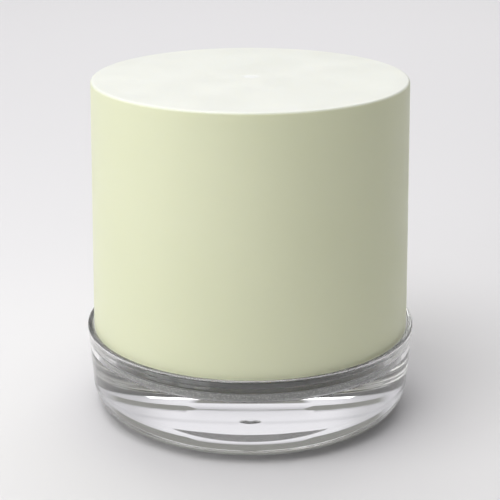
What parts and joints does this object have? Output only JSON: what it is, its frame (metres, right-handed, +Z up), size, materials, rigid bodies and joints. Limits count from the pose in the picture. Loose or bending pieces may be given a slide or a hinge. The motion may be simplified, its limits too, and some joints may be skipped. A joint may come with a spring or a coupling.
{
  "type": "pocket wet palette",
  "caption": "Round pocket wet palette: thick clear base with a shallow well, wet foam, palette paper, clear clamp ring with a seal, and a tall cream cover.",
  "frame": {"origin": "centre of the underside of the base, on the surface that the palette stands on", "axes": "+Z up along the axis of the pot; every piece is round, so +X and +Y are free"},
  "size_m": [0.0646, 0.0646, 0.0654],
  "materials": {
    "clear_base": "clear polished moulded acrylic",
    "grey_foam": "fine open-cell foam, damp",
    "palette_paper": "smooth semi-transparent paper",
    "clear_ring": "clear moulded plastic",
    "silicone": "soft translucent silicone",
    "cream_cover": "satin moulded, very fine texture"
  },
  "bodies": {
    "base": {"base_block": "clear_base"},
    "foam": {"foam_disc": "grey_foam"},
    "sheet": {"palette_sheet": "palette_paper"},
    "ring": {"clamp_ring": "clear_ring", "seal_ring": "silicone"},
    "cover": {"cover": "cream_cover"}
  },
  "joints": [
    {"name": "foam_lift", "type": "slide", "parent": "base", "child": "foam", "axis": [0, 0, 1], "range_m": [0, 0.03]},
    {"name": "sheet_lift", "type": "slide", "parent": "foam", "child": "sheet", "axis": [0, 0, 1], "range_m": [0, 0.02]},
    {"name": "ring_lift", "type": "slide", "parent": "sheet", "child": "ring", "axis": [0, 0, 1], "range_m": [0, 0.025]},
    {"name": "cover_lift", "type": "slide", "parent": "ring", "child": "cover", "axis": [0, 0, 1], "range_m": [0, 0.07]}
  ]
}
